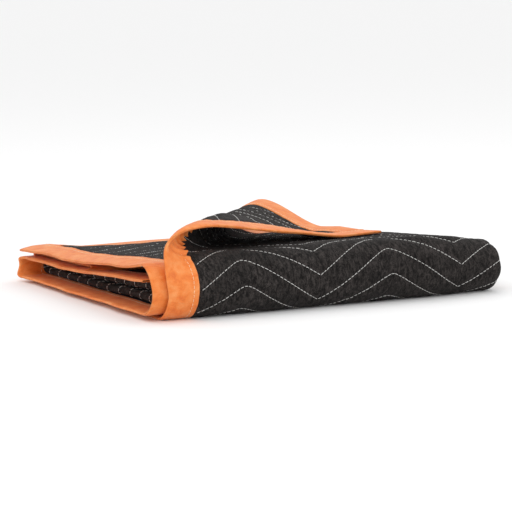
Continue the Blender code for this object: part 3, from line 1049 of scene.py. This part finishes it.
def makeBlackCloth():
    look = blackCloth
    material, tree, shader = newMaterial("black quilted cloth")
    link = tree.links.new
    inPlace = addNode(tree, "ShaderNodeTexCoord").outputs["Object"]
    onCloth = addNode(tree, "ShaderNodeAttribute", attribute_name="clothPlace").outputs["Vector"]
    stretched = mapped(tree, inPlace, (1.0, 0.45, 1.0))
    fibres = noise(tree, stretched, look["fibreScale"], 4.0, 0.65, 1.6)
    stretched = mapped(tree, onCloth, (1.0, 0.42, 1.0))
    matted = noise(tree, stretched, look["mattedScale"], 5.0, 0.62, 0.9)
    clouds = noise(tree, inPlace, look["cloudScale"], 3.0, 0.5, 0.4)
    grain = addNode(tree, "ShaderNodeTexVoronoi", feature="DISTANCE_TO_EDGE")
    grain.inputs["Scale"].default_value = look["grainScale"]
    link(inPlace, grain.inputs["Vector"])
    fleckFac = combine(tree, "MULTIPLY", combine(tree, "ADD", fibres, matted), 0.5)
    stops = [(look["fleckFrom"], look["base"]), (look["fleckTo"], look["fleck"])]
    flecks, worn = ramp(tree, fleckFac, stops), ramp(tree, clouds, look["worn"])
    link(multiplied(tree, flecks, worn), shader.inputs["Base Color"])
    setSurface(tree, shader, matted, look)
    coarse = bump(tree, matted, 0.8, 0.0016)
    pressed = bump(tree, grain.outputs["Distance"], 0.30, 0.0006, coarse)
    link(bump(tree, fibres, 0.45, 0.0004, pressed), shader.inputs["Normal"])
    return material


# Orange non-woven tape: pressed dots, faint crosswise creases, a random mottle, painted shade in
# the crease hollows and a painted highlight on the crease ridges
orangeTape = {
    "base": (0.78, 0.205, 0.033, 1.0),
    # pale is partly a random tone and partly a painted highlight on the crease ridges; the deepest
    # tone is partly random and partly painted shade in the crease hollows
    "pale": (0.84, 0.325, 0.102, 1.0),
    "deepAndCreaseShade": (0.64, 0.122, 0.015, 1.0),
    "toneAt": (0.28, 0.46, 0.70),
    "specks": ((0.35, grey(0.93)), (0.65, grey(1.05))),
    "creaseShadeShare": 0.30,
    "creaseScale": 105.0,
    "cloudScale": 60.0,
    "fibreScale": 900.0,
    "dotScale": 620.0,
    "roughness": (0.50, 0.72),
    "sheen": 0.08,
    "sheenRoughness": 0.4,
    "specular": 0.4,
}


def makeOrangeTape():
    look = orangeTape
    material, tree, shader = newMaterial("orange binding tape")
    link = tree.links.new
    onTape = addNode(tree, "ShaderNodeAttribute", attribute_name="tapePlace").outputs["Vector"]
    inPlace = addNode(tree, "ShaderNodeTexCoord").outputs["Object"]
    stretched = mapped(tree, onTape, (1.0, 0.38, 1.0))
    creases = noise(tree, stretched, look["creaseScale"], 4.0, 0.55, 1.2)
    clouds = noise(tree, inPlace, look["cloudScale"], 4.0, 0.6, 0.6)
    fibres = noise(tree, inPlace, look["fibreScale"], 3.0, 0.6, 1.0)
    dots = addNode(tree, "ShaderNodeTexVoronoi", feature="F1")
    dots.inputs["Scale"].default_value = look["dotScale"]
    dots.inputs["Randomness"].default_value = 0.35
    link(onTape, dots.inputs["Vector"])
    # the tone follows the random clouds and, in part, the creases' bump pattern: painted shade in
    # the crease hollows, painted highlight on their ridges
    mottleAndCreaseShade = mixFloats(tree, look["creaseShadeShare"], clouds, creases)
    tone = ramp(tree, mottleAndCreaseShade, list(zip(look["toneAt"], (look["deepAndCreaseShade"], look["base"], look["pale"]))))
    specks = ramp(tree, fibres, look["specks"])
    link(multiplied(tree, tone, specks), shader.inputs["Base Color"])
    setSurface(tree, shader, creases, look)
    folded = bump(tree, creases, 0.8, 0.0022)
    dotted = bump(tree, dots.outputs["Distance"], 0.22, 0.0004, folded)
    link(bump(tree, fibres, 0.25, 0.0002, dotted), shader.inputs["Normal"])
    return material


# Sewing thread, pale in the rows and orange on the tapes
rowThread = {"base": (0.74, 0.73, 0.70, 1.0), "roughness": 0.6}
tapeThread = {"base": (1.0, 0.64, 0.38, 1.0), "roughness": 0.55}
threadStrands = {"scale": 1500.0, "dark": 0.62, "from": 0.35, "to": 0.62, "sheen": 0.2}


def makeThread(name, look):
    material, tree, shader = newMaterial(name)
    inPlace = addNode(tree, "ShaderNodeTexCoord").outputs["Object"]
    strands = noise(tree, inPlace, threadStrands["scale"], 2.0, 0.6, 0.5)
    dark = tuple(value * threadStrands["dark"] for value in look["base"][:3]) + (1.0,)
    stops = [(threadStrands["from"], dark), (threadStrands["to"], look["base"])]
    tree.links.new(ramp(tree, strands, stops), shader.inputs["Base Color"])
    shader.inputs["Roughness"].default_value = look["roughness"]
    shader.inputs["Sheen Weight"].default_value = threadStrands["sheen"]
    tree.links.new(bump(tree, strands, 0.4, 0.0002), shader.inputs["Normal"])
    return material


clothFinish = makeBlackCloth()
tapeFinish = makeOrangeTape()
rowThreadFinish = makeThread("pale quilting thread", rowThread)
tapeThreadFinish = makeThread("orange sewing thread", tapeThread)
print("scene: finishes made")

quiltedCloth = makeQuiltedCloth(clothFinish)
print("scene: cloth", len(quiltedCloth.data.vertices), "points")
bindings = {edge: makeBinding(edge, tapeFinish, seed) for edge, seed in binding["seeds"].items()}
print("scene: bindings made")


# which stretches of the rows can be seen
def everywhere(across, along):
    return np.ones_like(across, dtype=bool)


def underThePeel(across, along):
    return peelPlace(across, along)[0] > -stitching["underPeel"]


def besideThePeel(across, along):
    far = peelPlace(clothAcross - across, along)[0]
    return (along > alongStart["frontBend"]) & (far > -stitching["besidePeel"])


leftRoll = acrossStart["leftFold"] + acrossLong["leftFold"] / 2
leftStart, leftEnd = leftRoll - stitching["leftReach"], leftRoll + stitching["leftReach"]
innerStart = acrossStart["innerRun"] + stitching["innerFrom"]
rowSets = {
    "outerRows": rowStitches(0.0, acrossStart["secondRun"], 1, everywhere),
    "peelRows": rowStitches(0.0, runLength, -1, underThePeel),
    "innerRows": rowStitches(innerStart, clothAcross, -1, besideThePeel),
    "leftRows": rowStitches(leftStart, leftEnd, 1, everywhere),
}
rowPieces = [
    sew(name + "Stitches", *rows, rowThreadFinish,
        stitching["length"], stitching["thread"], stitching["seed"])
    for name, rows in rowSets.items()
]


# sew the line that holds a tape down, a little in from its lip, on both faces
def tapeStitches(edge):
    side = edge in ("outerSide", "innerSide")
    length = clothAlong if side else clothAcross
    start = 0.004 if side else binding["width"] + 0.003
    run = np.arange(start, length - start, stitching["walk"])
    inward = np.full_like(run, binding["width"] - binding["rowInset"])
    tapeFace = quilt["boundHalf"] + binding["clear"] + binding["thickness"]
    lift = np.full_like(run, tapeFace + stitching["aboveTape"])
    groups = [stitchesOn(*onEdge(edge, run, inward), face, lift)[:3] for face in (1, -1)]
    return tuple(np.concatenate(group) for group in zip(*groups))


tapeRowPieces = [
    sew(edge + "BindingStitches", *tapeStitches(edge), tapeThreadFinish,
        stitching["tapeLength"], stitching["tapeThread"], stitching["seed"] + 1)
    for edge in bindings
]

# everything rides on the pad's one body and stands for its solid
nodeOf = {
    "outerSide": "binding_outer_side",
    "innerSide": "binding_inner_side",
    "outerEnd": "binding_outer_end",
    "innerEnd": "binding_inner_end",
}
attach(quiltedCloth, "root")
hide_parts("quilted_panel")
for edge, piece in bindings.items():
    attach(piece, "root")
    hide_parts(nodeOf[edge])
for piece in rowPieces:
    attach(piece, "root")
for piece in tapeRowPieces:
    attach(piece, "root")

# Floor, light and camera
studio = {
    "floorSize": 60.0,
    "floorColour": (0.93, 0.93, 0.93, 1.0),
    "worldColour": (1.0, 1.0, 1.0, 1.0),
    "worldStrength": 0.98,
    "lightAim": (0.0, 0.0, 0.05),
    "azimuth": radians(-26.7),
    "elevation": radians(7.5),
    "roll": radians(-0.8),
    "distance": 3.53,
    "lens": 170.0,
    "sensor": 36.0,
    "aim": (0.0, 0.0, 0.045),
}
lights = {
    "key": {"place": (-1.6, -2.2, 2.4), "size": (1.8, 1.8), "power": 21.0},
    "front fill": {"place": (1.8, -2.6, 1.2), "size": (2.2, 1.6), "power": 9.0},
    "top": {"place": (0.2, 0.8, 2.6), "size": (2.4, 2.4), "power": 9.0},
}


def makeFloor():
    half = studio["floorSize"] / 2
    corners = [(-half, -half, 0.0), (half, -half, 0.0), (half, half, 0.0), (-half, half, 0.0)]
    mesh = bpy.data.meshes.new("floor")
    mesh.from_pydata(corners, [], [(0, 1, 2, 3)])
    floor = bpy.data.objects.new("floor", mesh)
    bpy.context.collection.objects.link(floor)
    material, _, shader = newMaterial("pale floor")
    shader.inputs["Base Color"].default_value = studio["floorColour"]
    shader.inputs["Roughness"].default_value = 0.9
    mesh.materials.append(material)


def makeLight(name, lamp):
    data = bpy.data.lights.new(name, "AREA")
    data.shape = "RECTANGLE"
    data.size, data.size_y = lamp["size"]
    data.energy = lamp["power"]
    light = bpy.data.objects.new(name, data)
    bpy.context.collection.objects.link(light)
    light.location = lamp["place"]
    towards = Vector(studio["lightAim"]) - Vector(lamp["place"])
    light.rotation_euler = towards.to_track_quat("-Z", "Y").to_euler()


def makeCamera():
    data = bpy.data.cameras.new("camera")
    data.lens = studio["lens"]
    data.sensor_width = studio["sensor"]
    camera = bpy.data.objects.new("camera", data)
    bpy.context.collection.objects.link(camera)
    turn, rise, away = studio["azimuth"], studio["elevation"], studio["distance"]
    aim = Vector(studio["aim"])
    back = Vector((sin(turn) * cos(rise), -cos(turn) * cos(rise), sin(rise)))
    camera.location = aim + back * away
    turned = (-back).to_track_quat("-Z", "Y") @ Quaternion((0, 0, 1), studio["roll"])
    camera.rotation_euler = turned.to_euler()
    bpy.context.scene.camera = camera


makeFloor()
for name, lamp in lights.items():
    makeLight(name, lamp)
world = bpy.data.worlds.new("studio")
bpy.context.scene.world = world
world.use_nodes = True
sky = world.node_tree.nodes["Background"]
sky.inputs["Color"].default_value = studio["worldColour"]
sky.inputs["Strength"].default_value = studio["worldStrength"]
makeCamera()
bpy.context.scene.view_settings.view_transform = "Standard"
print("scene: stage, lights and camera set")
